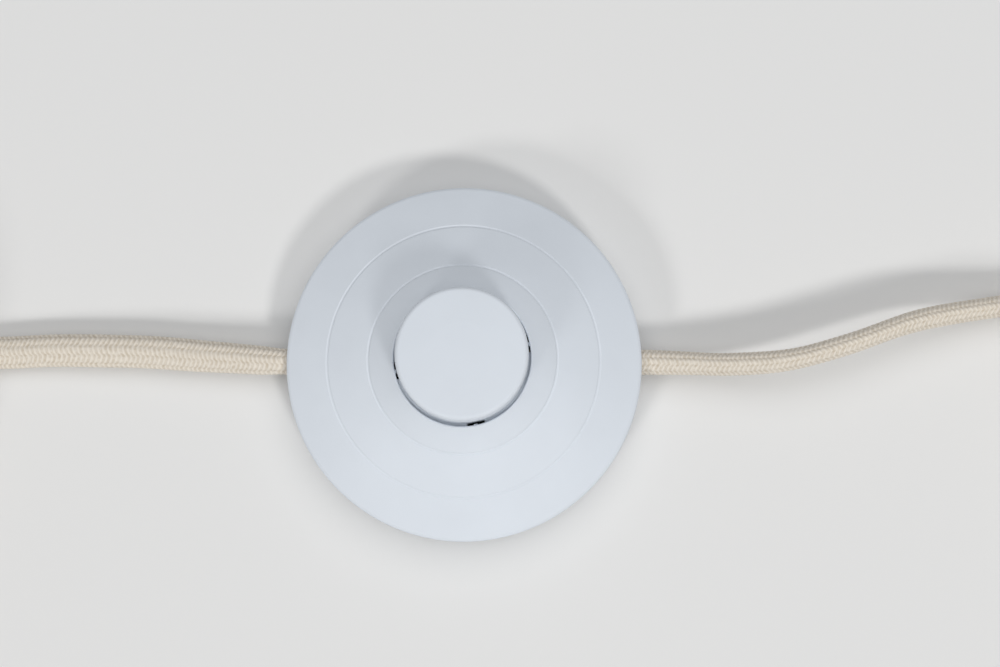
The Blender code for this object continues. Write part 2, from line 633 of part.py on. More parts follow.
def build():
    clear_scene()
    base_tray()
    feet()
    top_cover()
    case_screws()
    cord_clamps()
    terminals()
    cores()
    button_cap()
    button_pusher()
    rotor()
    contact_bridge()
    return_spring()
    mains_cord()
    plug()
    lamp_cord()


build()
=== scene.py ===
"""Looks of the round foot switch, its two textile cords and its plug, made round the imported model.

Lengths are written in millimetres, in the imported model's own frame, and turned into metres when a
mesh is made. The mains cord leaves at -X and ends in the plug, the lamp cord leaves at +X and ends in
two bare cores.
"""

import math

import bpy
import numpy as np
from mathutils import Matrix, Vector


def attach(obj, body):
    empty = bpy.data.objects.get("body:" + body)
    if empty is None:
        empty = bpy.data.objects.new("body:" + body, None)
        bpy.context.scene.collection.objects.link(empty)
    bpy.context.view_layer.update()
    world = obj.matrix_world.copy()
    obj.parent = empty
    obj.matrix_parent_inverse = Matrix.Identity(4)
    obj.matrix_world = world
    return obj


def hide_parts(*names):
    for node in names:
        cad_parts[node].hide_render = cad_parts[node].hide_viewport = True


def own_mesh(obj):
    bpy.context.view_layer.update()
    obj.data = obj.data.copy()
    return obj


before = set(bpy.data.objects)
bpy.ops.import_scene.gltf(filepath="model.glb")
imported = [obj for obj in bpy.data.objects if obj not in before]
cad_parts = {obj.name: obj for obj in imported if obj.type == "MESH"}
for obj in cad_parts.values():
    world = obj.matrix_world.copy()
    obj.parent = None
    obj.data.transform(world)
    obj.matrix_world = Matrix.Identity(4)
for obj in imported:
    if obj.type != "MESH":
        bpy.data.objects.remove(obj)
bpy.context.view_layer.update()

MM = 0.001

# The camera stands above the switch and leans a few degrees towards the viewer's side.
CAMERA_AT = (12.055, -35.956, 380.0)
CAMERA_LEAN_X = 0.11229         # radians
CAMERA_LEAN_Y = 0.01339         # radians
CAMERA_LENS = 68.10

# The cover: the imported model's sizes, except where noted.
SKIRT_BOTTOM_Z = 1.3
RIM_R = 35.0
CONE_FOOT_R = 34.45
CONE_FOOT_Z = 10.1
CONE_RISE = 0.445
TOP_RISE = 0.65
GROOVE_RADII = (26.6, 18.3)
GROOVE_HALF = 0.3
GROOVE_DEPTH = 0.14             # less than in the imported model
HOLE_R = 13.15
LEDGE_Z = 19.6
BARREL_R = 16.0
BARREL_OUTER_R = 17.4
BARREL_BOTTOM_Z = 12.0
COVER_WALL = 2.2
SKIRT_INNER_R = 33.2
RIB_ANGLES = (11.5, 101.5, 191.5, 281.5)
RIB_HALF = 0.35
CASE_SCREW_R = 26.0
CASE_SCREW_ANGLES = (90.0, 210.0, 330.0)
SCREW_POST_R = 2.9
SCREW_POST_Z = (5.1, 12.2)
SCREW_HOLE_R = 1.6
SCREW_HOLE_Z = (4.0, 11.2)
CORD_Y = 0.5
CORD_Z = 5.3
CORD_OPENING_R = 2.95

# The button.
BUTTON_R = 12.65
BUTTON_TOP_Z = 27.2
BUTTON_INNER_R = 10.85
FLANGE_R = 15.4
FLANGE_BOTTOM_Z = 16.3
FLANGE_GAP = 0.45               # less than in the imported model
NOTCH_HALF = 1.7
RIB_CLEARANCE = 0.3
BUTTON_PLAY = (0.06, 0.22)      # how far the button lies to one side of its hole

# The return spring under the button.
SPRING_R = 2.3
WIRE_R = 0.3
SPRING_Z = (15.05, 22.55)
SPRING_TURNS = 6

# The cords: (x, y, z) where they aren't coiled, then the coils' slots as (radius, height).
MAINS_ROUTE = (
    (-20.6, 0.5, 5.0), (-27.5, 0.5, 5.05), (-36.5, 0.75, 5.2), (-45.0, 1.4, 4.5),
    (-53.0, 2.0, 4.1), (-63.0, 2.8, 3.8), (-73.0, 3.1, 3.5), (-83.0, 3.2, 3.2), (-93.0, 2.8, 3.0),
    (-102.8, 3.3, 3.1), (-108.5, 4.8, 3.25), (-113.7, 7.4, 3.35),
)
LAMP_ROUTE = (
    (20.6, 0.5, 5.0), (27.5, 0.5, 5.05), (36.5, 0.5, 5.2), (45.0, 0.2, 5.9), (52.4, -0.1, 7.0),
    (64.0, 0.6, 8.7), (75.7, 3.65, 9.2), (89.8, 8.5, 8.0), (106.35, 11.6, 5.1),
    (110.5, 12.05, 4.6), (114.9, 12.9, 4.4), (119.0, 14.6, 4.4), (122.7, 17.1, 4.35),
)
MAINS_COIL_CENTRE = (-144.0, -14.9)
MAINS_COIL_START = 45.2
MAINS_SLOTS = ((36.6, 3.35), (29.9, 3.35), (29.9, 8.05), (36.6, 8.05), (36.6, 12.75), (29.9, 12.75),
               (29.9, 17.75))
MAINS_CROSSINGS = ((282, 360), (600, 642), (882, 960), (1200, 1242), (1482, 1560), (1800, 1842))
MAINS_TRAVEL = 2024.8           # degrees round the coil, up to its nearest side
MAINS_TIE_ANGLE = -30.0
MAINS_COIL_RADII = (26.6, 39.9)
MAINS_COIL_Z = (1.05, 15.05)
TURN_IN_R = 28.0
PLUG_AXIS_Z = 27.35
LAMP_COIL_CENTRE = (153.0, -3.5)
LAMP_COIL_START = 138.5
LAMP_SLOTS = ((36.0, 4.35), (36.0, 11.05), (31.3, 11.05), (31.3, 4.35), (26.0, 4.3))
LAMP_CROSSINGS = ((285, 360), (570, 645), (855, 930), (1140, 1215))
LAMP_TRAVEL = 1232.0
LAMP_TIE_ANGLE = 20.0
LAMP_COIL_RADII = (29.0, 38.3)
LAMP_COIL_Z = (1.05, 14.35)
LAMP_END_ROUTE = ((320, 25.7, 4.0), (290, 25.4, 3.7), (260, 25.2, 3.5), (230, 25.0, 3.5),
                  (200, 24.9, 3.5), (170, 24.6, 3.5), (148, 24.0, 3.5), (126, 23.2, 3.5))

# Each cord's sizes as (length from the start, half width, half height), and how far its braid is fine.
MAINS_SIZES = ((0, 2.55, 2.75), (16, 2.6, 2.75), (20, 2.95, 2.5), (27, 3.2, 2.35), (45, 3.35, 2.3),
               (62, 3.4, 2.25), (75, 3.2, 2.3), (90, 3.3, 2.3))
MAINS_FINE_LENGTH = 81.0
LAMP_SIZES = ((0, 2.55, 2.75), (16, 2.5, 2.8), (24, 2.4, 2.95), (34, 2.25, 3.1), (48, 2.1, 3.25),
              (72, 2.1, 3.25), (90, 2.2, 3.25))
LAMP_FINE_LENGTH = 90.0

# The braid of the textile sleeves.
BRAID_COLUMNS = 10
POINTS_ROUND = 60               # six for each column
BRAID_PITCH = 0.95              # from one strand to the next, along the cord
BRAID_LEAN = 0.6                # in pitches, from one column to the next
CROWN_HEIGHT = 0.16
STRAND_HEIGHT = 0.12
FINE_STEP = 0.16
COIL_STEP = 1.5

# The straps round the coils.
TIE_GAP = 0.45
TIE_THICK = 0.7
TIE_HALF_WIDTH = 3.0

# The plug.
PLUG_Y = MAINS_COIL_CENTRE[1] + 2 * TURN_IN_R - MAINS_SLOTS[-1][0]
PLUG_TAIL_X = MAINS_COIL_CENTRE[0] - 0.3
PLUG_LENGTH = 42.0
PLUG_FACE_X = PLUG_TAIL_X - PLUG_LENGTH
PIN_HALF_SPACING = 9.3
PIN_R = 2.0
PIN_WELL_R = 2.25
PIN_LEAN = 0.55 / 18.0          # the pins lean towards each other

# The studio: (name, azimuth, elevation, distance, size, power, colour), in degrees, metres and watts.
LIGHTS = (
    ("overhead_light", 65.0, 77.0, 2.0, 2.6, 23.2, (0.985, 0.99, 1.0)),
    ("right_light", -60.0, 44.0, 3.0, 0.5, 26.5, (1.0, 0.99, 0.975)),
    ("left_light", -125.0, 35.0, 3.0, 0.55, 20.0, (1.0, 0.99, 0.975)),
)
SKY_COLOUR = (0.97, 0.985, 1.0, 1)
SKY_STRENGTH = 0.18
FLOOR_HALF = 3000.0

# Cream thread colours: the lighter one is the thread, the darker one is painted shade for the gaps and folds
# of the braid.
CREAM_LIGHT = (0.88, 0.81, 0.71)
CREAM_GAP_SHADE = (0.62, 0.54, 0.43)


# ---------------------------------------------------------------- meshes

def placed(name, mesh, look, body):
    """Puts a mesh in the scene, and gives it its material and body unless it is only a helper."""
    made = bpy.data.objects.new(name, mesh)
    bpy.context.scene.collection.objects.link(made)
    if look is not None:
        mesh.materials.append(look)
        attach(made, body)
    return made


def smooth(mesh, degrees=35.0):
    mesh.shade_smooth()
    mesh.set_sharp_from_angle(angle=math.radians(degrees))


def mesh_from(name, points, faces):
    mesh = bpy.data.meshes.new(name)
    mesh.from_pydata([tuple(MM * c for c in p) for p in points], [], faces)
    mesh.validate()
    smooth(mesh)
    return mesh


def filleted(outline, steps=5):
    """A closed outline of (x, y, fillet) corners as plain points, with each corner rounded."""
    points = []
    for k, (x, y, radius) in enumerate(outline):
        here = Vector((x, y))
        if radius == 0:
            points.append((x, y))
            continue
        back = Vector(outline[k - 1][:2]) - here
        ahead = Vector(outline[(k + 1) % len(outline)][:2]) - here
        half = back.angle(ahead) / 2
        reach = min(radius / math.tan(half), 0.47 * back.length, 0.47 * ahead.length)
        radius = reach * math.tan(half)
        centre = here + (back.normalized() + ahead.normalized()).normalized() * radius / math.sin(half)
        first = here + back.normalized() * reach - centre
        last = here + ahead.normalized() * reach - centre
        for n in range(steps + 1):
            t = n / steps
            points.append(tuple(centre + ((1 - t) * first + t * last).normalized() * radius))
    return points


def lathe(outline, sides):
    """Points and faces of a solid of revolution about Z, from an outline that runs up its outer side."""
    points, rings, faces = [], [], []
    for r, z in outline:
        if r < 1e-6:
            rings.append([len(points)])
            points.append((0.0, 0.0, z))
            continue
        rings.append(list(range(len(points), len(points) + sides)))
        for k in range(sides):
            angle = 2 * math.pi * k / sides
            points.append((r * math.cos(angle), r * math.sin(angle), z))
    for low, high in zip(rings, rings[1:] + rings[:1]):
        if len(low) == 1 and len(high) == 1:
            continue
        for k in range(sides):
            after = (k + 1) % sides
            if len(low) == 1:
                faces.append((low[0], high[after], high[k]))
            elif len(high) == 1:
                faces.append((low[k], low[after], high[0]))
            else:
                faces.append((low[k], low[after], high[after], high[k]))
    return points, faces


def prism(outline, low, high):
    """Points and faces of a flat outline, anticlockwise from above, between two heights."""
    count = len(outline)
    points = [(x, y, low) for x, y in outline] + [(x, y, high) for x, y in outline]
    faces = [tuple(reversed(range(count))), tuple(range(count, 2 * count))]
    faces += [(k, (k + 1) % count, count + (k + 1) % count, count + k) for k in range(count)]
    return points, faces


def loft(sections):
    """Points and faces of a closed skin over rings of points, each anticlockwise seen from its end."""
    count = len(sections[0])
    points = [p for ring in sections for p in ring]
    faces = [tuple(reversed(range(count))), tuple(range(len(points) - count, len(points)))]
    for k in range(len(sections) - 1):
        for n in range(count):
            after = (n + 1) % count
            low, high = k * count, (k + 1) * count
            faces.append((low + n, low + after, high + after, high + n))
    return points, faces


def joined(shapes):
    points, faces = [], []
    for more_points, more_faces in shapes:
        start = len(points)
        points += more_points
        faces += [tuple(start + n for n in face) for face in more_faces]
    return points, faces


def carved(name, shape, added=(), removed=()):
    """The mesh of a shape with other shapes added to it and removed from it."""
    base = placed(name, mesh_from(name, *shape), None, None)
    helpers = []
    for operation, shapes in (("UNION", added), ("DIFFERENCE", removed)):
        if not shapes:
            continue
        helper = placed(f"{name}_{operation}", mesh_from(operation, *joined(shapes)), None, None)
        helpers.append(helper)
        step = base.modifiers.new(operation, "BOOLEAN")
        step.operation = operation
        step.solver = "EXACT"
        step.object = helper
    bpy.context.view_layer.update()
    graph = bpy.context.evaluated_depsgraph_get()
    mesh = bpy.data.meshes.new_from_object(base.evaluated_get(graph))
    mesh.materials.clear()
    for helper in helpers + [base]:
        bpy.data.objects.remove(helper)
    smooth(mesh)
    mesh.name = name
    return mesh


def circle(x, y, r, sides=24):
    steps = [2 * math.pi * k / sides for k in range(sides)]
    return [(x + r * math.cos(a), y + r * math.sin(a)) for a in steps]


def rectangle(x0, x1, y0, y1):
    return [(x0, y0), (x1, y0), (x1, y1), (x0, y1)]


def turned_about(outline, degrees):
    a = math.radians(degrees)
    return [(x * math.cos(a) - y * math.sin(a), x * math.sin(a) + y * math.cos(a)) for x, y in outline]


def on_circle(r, degrees, centre=(0.0, 0.0)):
    a = math.radians(degrees)
    return centre[0] + r * math.cos(a), centre[1] + r * math.sin(a)


# ---------------------------------------------------------------- camera, floor and lights

def make_camera():
    camera = bpy.data.objects.new("camera", bpy.data.cameras.new("camera"))
    camera.data.lens = CAMERA_LENS
    camera.data.sensor_width = 36.0
    camera.data.clip_start = 0.01
    camera.data.clip_end = 20.0
    lean = Matrix.Rotation(CAMERA_LEAN_Y, 4, "Y") @ Matrix.Rotation(CAMERA_LEAN_X, 4, "X")
    camera.matrix_world = Matrix.Translation(MM * Vector(CAMERA_AT)) @ lean
    bpy.context.scene.collection.objects.link(camera)
    bpy.context.scene.camera = camera


def area_light(name, azimuth, elevation, distance, size, power, colour):
    """A round soft light, aimed at the switch from that azimuth (0 is +X) and elevation."""
    light = bpy.data.objects.new(name, bpy.data.lights.new(name, "AREA"))
    light.data.shape = "DISK"
    light.data.size = size
    light.data.energy = power
    light.data.color = colour
    a, e = math.radians(azimuth), math.radians(elevation)
    away = Vector((math.cos(a) * math.cos(e), math.sin(a) * math.cos(e), math.sin(e)))
    light.location = distance * away
    light.rotation_mode = "QUATERNION"
    light.rotation_quaternion = away.to_track_quat("Z", "Y")
    light.visible_camera = False
    bpy.context.scene.collection.objects.link(light)


def make_studio():
    scene = bpy.context.scene
    scene.view_settings.view_transform = "Standard"
    world = bpy.data.worlds.new("studio")
    world.use_nodes = True
    world.node_tree.nodes["Background"].inputs["Color"].default_value = SKY_COLOUR
    world.node_tree.nodes["Background"].inputs["Strength"].default_value = SKY_STRENGTH
    scene.world = world
    for light in LIGHTS:
        area_light(*light)
    corners = rectangle(-FLOOR_HALF, FLOOR_HALF, -FLOOR_HALF, FLOOR_HALF)
    points = [(x, y, 0.0) for x, y in corners]
    floor = placed("floor", mesh_from("floor", points, [(0, 1, 2, 3)]), None, None)
    floor.data.materials.append(paper())


# ---------------------------------------------------------------- materials

def new_material(name, colour, roughness, metallic=0.0):
    """A material with its main shader set, and its nodes and links."""
    made = bpy.data.materials.new(name)
    made.use_nodes = True
    shader = made.node_tree.nodes["Principled BSDF"]
    shader.inputs["Base Color"].default_value = (*colour, 1)
    shader.inputs["Roughness"].default_value = roughness
    shader.inputs["Metallic"].default_value = metallic
    made.diffuse_color = (*colour, 1)
    return made, shader, made.node_tree.nodes, made.node_tree.links


def noise(nodes, links, scale, detail=3.0, stretch=(1, 1, 1)):
    """The output of a noise texture in the object's own space, with that many cells per metre."""
    place = nodes.new("ShaderNodeTexCoord")
    mapping = nodes.new("ShaderNodeMapping")
    mapping.inputs["Scale"].default_value = stretch
    links.new(place.outputs["Object"], mapping.inputs["Vector"])
    texture = nodes.new("ShaderNodeTexNoise")
    texture.inputs["Scale"].default_value = scale
    texture.inputs["Detail"].default_value = detail
    links.new(mapping.outputs["Vector"], texture.inputs["Vector"])
    return texture.outputs["Fac"]


def ramp(nodes, links, value, stops):
    """Colours along a value, from (place, colour) pairs."""
    made = nodes.new("ShaderNodeValToRGB")
    for element, (at, colour) in zip(made.color_ramp.elements, (stops[0], stops[-1])):
        element.position = at
        element.color = (*colour, 1)
    for at, colour in stops[1:-1]:
        made.color_ramp.elements.new(at).color = (*colour, 1)
    links.new(value, made.inputs["Fac"])
    return made.outputs["Color"]


def spread(nodes, links, value, low, high):
    """A value of 0 to 1 turned into one between low and high."""
    made = nodes.new("ShaderNodeMapRange")
    made.inputs["To Min"].default_value = low
    made.inputs["To Max"].default_value = high
    links.new(value, made.inputs["Value"])
    return made.outputs["Result"]


def bump(nodes, links, height, distance, strength=1.0, under=None):
    """Adds a bump of that height in metres, on top of another bump's normal if there is one."""
    made = nodes.new("ShaderNodeBump")
    made.inputs["Distance"].default_value = distance
    made.inputs["Strength"].default_value = strength
    links.new(height, made.inputs["Height"])
    if under is not None:
        links.new(under, made.inputs["Normal"])
    return made.outputs["Normal"]


def math_node(nodes, links, operation, first, second=None):
    made = nodes.new("ShaderNodeMath")
    made.operation = operation
    for socket, value in zip(made.inputs, (first, second)):
        if isinstance(value, (int, float)):
            socket.default_value = value
        elif value is not None:
            links.new(value, socket)
    return made.outputs[0]


def tinted(colour, factor):
    return tuple(min(1.0, c * factor) for c in colour)


def plastic(name, colour, roughness=0.4, grain=2600.0, grain_height=0.00001, mottle=0.015):
    """Moulded plastic: a faint mottle, a fine grain, and a roughness that varies a little."""
    made, shader, nodes, links = new_material(name, colour, roughness)
    shader.inputs["Specular IOR Level"].default_value = 0.3
    broad = noise(nodes, links, 90.0, 2.0)
    stops = ((0.3, tinted(colour, 1 - mottle)), (0.7, tinted(colour, 1 + mottle)))
    links.new(ramp(nodes, links, broad, stops), shader.inputs["Base Color"])
    fine = noise(nodes, links, grain, 2.0)
    links.new(spread(nodes, links, broad, roughness - 0.05, roughness + 0.05), shader.inputs["Roughness"])
    links.new(bump(nodes, links, fine, grain_height), shader.inputs["Normal"])
    return made


def metal(name, colour, roughness=0.28, brushed=(1, 1, 30)):
    """Metal with fine lines along one direction and a few duller patches."""
    made, shader, nodes, links = new_material(name, colour, roughness, 1.0)
    patches = noise(nodes, links, 700.0, 3.0)
    stops = ((0.3, tinted(colour, 0.8)), (0.7, tinted(colour, 1.08)))
    links.new(ramp(nodes, links, patches, stops), shader.inputs["Base Color"])
    lines = noise(nodes, links, 900.0, 2.0, brushed)
    links.new(spread(nodes, links, patches, roughness - 0.08, roughness + 0.14), shader.inputs["Roughness"])
    links.new(bump(nodes, links, lines, 0.00001), shader.inputs["Normal"])
    return made


def rubber(name):
    made, shader, nodes, links = new_material(name, (0.035, 0.035, 0.036), 0.75)
    dust = noise(nodes, links, 400.0, 4.0)
    links.new(ramp(nodes, links, dust, ((0.35, (0.025, 0.025, 0.026)), (0.75, (0.075, 0.073, 0.07)))),
              shader.inputs["Base Color"])
    links.new(bump(nodes, links, noise(nodes, links, 5000.0), 0.00003), shader.inputs["Normal"])
    return made


def paper():
    """The plain pale surface that the switch stands on."""
    made, shader, nodes, links = new_material("pale_floor", (0.80, 0.80, 0.795), 0.9)
    soft = noise(nodes, links, 3.0, 2.0)
    links.new(ramp(nodes, links, soft, ((0.3, (0.795, 0.795, 0.79)), (0.7, (0.805, 0.805, 0.80)))),
              shader.inputs["Base Color"])
    shader.inputs["Specular IOR Level"].default_value = 0.2
    return made


def textile():
    """The braided sleeve, with painted shade: the colour darkens in the gaps between strands and towards the
    folds between columns. The mesh holds each strand's phase and each column's fold from 0 to 1.
    """
    made, shader, nodes, links = new_material("braided_textile", CREAM_LIGHT, 0.85)
    phase = nodes.new("ShaderNodeAttribute")
    phase.attribute_name = "phase"
    fold = nodes.new("ShaderNodeAttribute")
    fold.attribute_name = "fold"
    wave = math_node(nodes, links, "COSINE",
                     math_node(nodes, links, "MULTIPLY", phase.outputs["Fac"], 2 * math.pi))
    strand = math_node(nodes, links, "MAXIMUM", math_node(nodes, links, "MULTIPLY", wave, 0.5), 0.0)
    strand = math_node(nodes, links, "POWER", strand, 0.6)
    other = math_node(nodes, links, "SUBTRACT", 1.0, fold.outputs["Fac"])
    crown = math_node(nodes, links, "MULTIPLY",
                      math_node(nodes, links, "MULTIPLY", fold.outputs["Fac"], other), 4.0)
    crown = math_node(nodes, links, "POWER", crown, 0.5)
    yarn = math_node(nodes, links, "COSINE",
                     math_node(nodes, links, "MULTIPLY", phase.outputs["Fac"], 10 * math.pi))
    cloudy = noise(nodes, links, 1500.0, 3.0)
    # Painted shade: darker between strands and towards each column's folds; the cloudy noise adds random tone
    # on top.
    shade_and_mottle = math_node(nodes, links, "MULTIPLY", spread(nodes, links, crown, 0.55, 1.0),
                    spread(nodes, links, strand, 0.35, 1.0))
    patchy = math_node(nodes, links, "MULTIPLY", math_node(nodes, links, "SUBTRACT", cloudy, 0.5), 0.8)
    shade_and_mottle = math_node(nodes, links, "ADD", shade_and_mottle, patchy)
    stops = ((0.15, CREAM_GAP_SHADE), (0.5, tinted(CREAM_LIGHT, 0.9)), (1.0, CREAM_LIGHT))
    links.new(ramp(nodes, links, shade_and_mottle, stops), shader.inputs["Base Color"])
    height = math_node(nodes, links, "ADD", strand, math_node(nodes, links, "MULTIPLY", yarn, 0.12))
    threads = bump(nodes, links, height, 0.00012, 0.7)
    fibres = bump(nodes, links, noise(nodes, links, 9000.0, 2.0), 0.00004, 0.6, threads)
    links.new(fibres, shader.inputs["Normal"])
    shader.inputs["Sheen Weight"].default_value = 0.25
    shader.inputs["Sheen Roughness"].default_value = 0.5
    shader.inputs["Specular IOR Level"].default_value = 0.25
    return made


def webbing():
    """The woven strap of the ties."""
    made, shader, nodes, links = new_material("tie_webbing", (0.03, 0.03, 0.032), 0.8)
    weave = nodes.new("ShaderNodeTexChecker")
    weave.inputs["Scale"].default_value = 2200.0
    place = nodes.new("ShaderNodeTexCoord")
    links.new(place.outputs["Object"], weave.inputs["Vector"])
    stops = ((0.0, (0.018, 0.018, 0.02)), (1.0, (0.06, 0.06, 0.064)))
    links.new(ramp(nodes, links, weave.outputs["Fac"], stops), shader.inputs["Base Color"])
    links.new(bump(nodes, links, weave.outputs["Fac"], 0.00005, 0.5), shader.inputs["Normal"])
    shader.inputs["Sheen Weight"].default_value = 0.3
    return made


# ---------------------------------------------------------------- cords

def smooth_line(route, spacing):
    """Points about this far apart on a smooth curve through the route's points."""
    knots = np.array(route, float)
    ends = np.vstack([2 * knots[0] - knots[1], knots, 2 * knots[-1] - knots[-2]])
    points = []
    for before, a, b, after in zip(ends, ends[1:], ends[2:], ends[3:]):
        steps = max(1, round(np.linalg.norm(b - a) / spacing))
        t = (np.arange(steps) / steps)[:, None]
        points.append(0.5 * (2 * a + (b - before) * t + (2 * before - 5 * a + 4 * b - after) * t ** 2
                             + (3 * a - before - 3 * b + after) * t ** 3))
    return np.vstack(points + [knots[-1:]])


def even(line, spacing):
    """The same line with evenly spaced points."""
    along = np.append(0.0, np.cumsum(np.linalg.norm(np.diff(line, axis=0), axis=1)))
    stations = np.linspace(0.0, along[-1], max(2, round(along[-1] / spacing) + 1))
    return np.stack([np.interp(stations, along, line[:, k]) for k in range(3)], 1)


def eased(line, reach):
    """The line with its corners eased over that many points, its two ends kept."""
    weights = np.hanning(2 * reach + 3)[1:-1]
    weights /= weights.sum()
    before = 2 * line[0] - line[reach:0:-1]
    after = 2 * line[-1] - line[-2:-reach - 2:-1]
    longer = np.vstack([before, line, after])
    return np.stack([np.convolve(longer[:, k], weights, "valid") for k in range(3)], 1)


def coil_line(centre, start, direction, slots, crossings, travel):
    """Points every 2 degrees round a coil: from slot to slot, each within its own crossing."""
    points = []
    for turned in np.arange(0.0, travel, 2.0):
        r, z = slots[0]
        for (first, last), here, there in zip(crossings, slots, slots[1:]):
            share = min(1.0, max(0.0, (turned - first) / (last - first)))
            share = share * share * (3 - 2 * share)
            r += (there[0] - here[0]) * share
            z += (there[1] - here[1]) * share
        points.append((*on_circle(r, start + direction * turned, centre), z))
    return points


def mains_line():
    coil = coil_line(MAINS_COIL_CENTRE, MAINS_COIL_START, 1, MAINS_SLOTS, MAINS_CROSSINGS, MAINS_TRAVEL)
    turn_centre = (MAINS_COIL_CENTRE[0], MAINS_COIL_CENTRE[1] - MAINS_SLOTS[-1][0] + TURN_IN_R)
    low = MAINS_SLOTS[-1][1]
    turn = []
    for share in np.linspace(0.0, 1.0, 40):
        height = low + (PLUG_AXIS_Z - low) * share * share * (3 - 2 * share)
        turn.append((*on_circle(TURN_IN_R, -90.0 + 180.0 * share, turn_centre), height))
    lead = smooth_line(MAINS_ROUTE + (coil[0],), 1.0)
    return eased(even(np.vstack([lead, coil[1:], turn]), 0.5), 6)


def lamp_line():
    coil = coil_line(LAMP_COIL_CENTRE, LAMP_COIL_START, -1, LAMP_SLOTS, LAMP_CROSSINGS, LAMP_TRAVEL)
    inner = [(*on_circle(r, angle, LAMP_COIL_CENTRE), z) for angle, r, z in LAMP_END_ROUTE]
    lead = smooth_line(LAMP_ROUTE + (coil[0],), 1.0)
    end = smooth_line([coil[-1]] + inner, 1.0)
    return eased(even(np.vstack([lead, coil[1:], end[1:]]), 0.5), 6)


def textile_cord(name, line, sizes, fine_length, look):
    """The braided sleeve round a line. Sizes are (length from the start, half width, half height)."""
    along = np.append(0.0, np.cumsum(np.linalg.norm(np.diff(line, axis=0), axis=1)))
    fine = np.arange(0.0, fine_length, FINE_STEP)
    coarse = np.linspace(fine[-1] + FINE_STEP, along[-1], round((along[-1] - fine[-1]) / COIL_STEP))
    stations = np.append(fine, coarse)
    centre = np.stack([np.interp(stations, along, line[:, k]) for k in range(3)], 1)
    ahead = np.stack([np.interp(stations + 0.5, along, line[:, k]) for k in range(3)], 1)
    behind = np.stack([np.interp(stations - 0.5, along, line[:, k]) for k in range(3)], 1)
    tangent = ahead - behind
    tangent /= np.linalg.norm(tangent, axis=1)[:, None]
    side = np.cross(tangent, (0.0, 0.0, 1.0))
    side /= np.linalg.norm(side, axis=1)[:, None]
    up = np.cross(side, tangent)

    lengths, half_widths, half_heights = np.array(sizes).T
    wander = 0.04 * np.sin(stations / 5.3) + 0.03 * np.sin(stations / 2.9 + 1.7)
    half_width = (np.interp(stations, lengths, half_widths) + wander)[:, None]
    half_height = (np.interp(stations, lengths, half_heights) - wander)[:, None]

    column = BRAID_COLUMNS * np.arange(POINTS_ROUND) / POINTS_ROUND
    angle = 2 * np.pi * column / BRAID_COLUMNS
    fold = 1.0 - np.abs(column % 2.0 - 1.0)
    pitch_drift = 0.6 * np.sin(stations / 21.0) + 0.25 * np.sin(stations / 6.1 + 0.8)
    interlock = np.where(column % 1.0 == 0.0, 0.25, np.where(column % 2.0 > 1.0, 0.5, 0.0))
    phase = (stations / BRAID_PITCH + pitch_drift)[:, None] + (BRAID_LEAN * fold + interlock)[None, :]
    crown = np.sqrt(4 * fold * (1 - fold))[None, :]
    strand = np.sqrt(0.5 + 0.5 * np.cos(2 * np.pi * phase))
    fade = np.clip((fine_length - stations) / 4.0, 0.0, 1.0)[:, None]
    rise = CROWN_HEIGHT * (crown - 1.0) + STRAND_HEIGHT * fade * (strand * (0.4 + 0.6 * crown) - 0.7)

    across = (half_width + rise) * np.cos(angle)[None, :]
    above = (half_height + rise) * np.sin(angle)[None, :]
    points = centre[:, None] + across[..., None] * side[:, None] + above[..., None] * up[:, None]
    points = points.reshape(-1, 3) * MM

    rings = len(stations)
    ring = np.arange(rings - 1)[:, None] * POINTS_ROUND
    at = np.arange(POINTS_ROUND)[None, :]
    after = (at + 1) % POINTS_ROUND
    quads = np.stack([ring + at, ring + POINTS_ROUND + at, ring + POINTS_ROUND + after, ring + after], -1)
    first_cap = tuple(range(POINTS_ROUND))
    last_cap = tuple(reversed(range((rings - 1) * POINTS_ROUND, rings * POINTS_ROUND)))
    faces = [tuple(q) for q in quads.reshape(-1, 4).tolist()] + [first_cap, last_cap]
    mesh = bpy.data.meshes.new(name)
    mesh.from_pydata(points.tolist(), [], faces)
    mesh.shade_smooth()
    for label, values in (("phase", phase), ("fold", np.broadcast_to(fold, phase.shape))):
        layer = mesh.attributes.new(label, "FLOAT", "POINT")
        layer.data.foreach_set("value", np.ascontiguousarray(values, np.float32).reshape(-1))
    return placed(name, mesh, look, "housing")


# ---------------------------------------------------------------- the switch

def cone_z(r):
    """Height of the cover's outer surface."""
    if r >= GROOVE_RADII[1]:
        return CONE_FOOT_Z + CONE_RISE * (CONE_FOOT_R - r)
    return cone_z(GROOVE_RADII[1]) + TOP_RISE * (GROOVE_RADII[1] - r)


def ledge_z(r):
    """Height of the underside of the ledge that keeps the button in."""
    return LEDGE_Z - TOP_RISE * (r - HOLE_R)


def doorway(x0, x1):
    """The way through the cover's skirt for a cord: round on top, straight down to the edge."""
    section = [(CORD_Y + CORD_OPENING_R, 0.0)]
    for k in range(25):
        y, z = on_circle(CORD_OPENING_R, 180.0 * k / 24)
        section.append((CORD_Y + y, CORD_Z + z))
    section.append((CORD_Y - CORD_OPENING_R, 0.0))
    return loft([[(x, y, z) for y, z in section] for x in (x0, x1)])


def guide_rib(angle):
    """A thin wall inside the barrel, up to the sloping ledge, that keeps the button from turning."""
    r0, r1 = BUTTON_R + RIB_CLEARANCE, BARREL_R + 0.6
    upright = [(r0, BARREL_BOTTOM_Z + 0.2), (r0, ledge_z(r0) + 0.3), (r1, ledge_z(r1) + 0.3),
               (r1, BARREL_BOTTOM_Z + 0.2)]
    sections = []
    for half in (-RIB_HALF, RIB_HALF):
        section = []
        for r, z in upright:
            (x, y), = turned_about([(r, half)], angle)
            section.append((x, y, z))
        sections.append(section)
    return loft(sections)


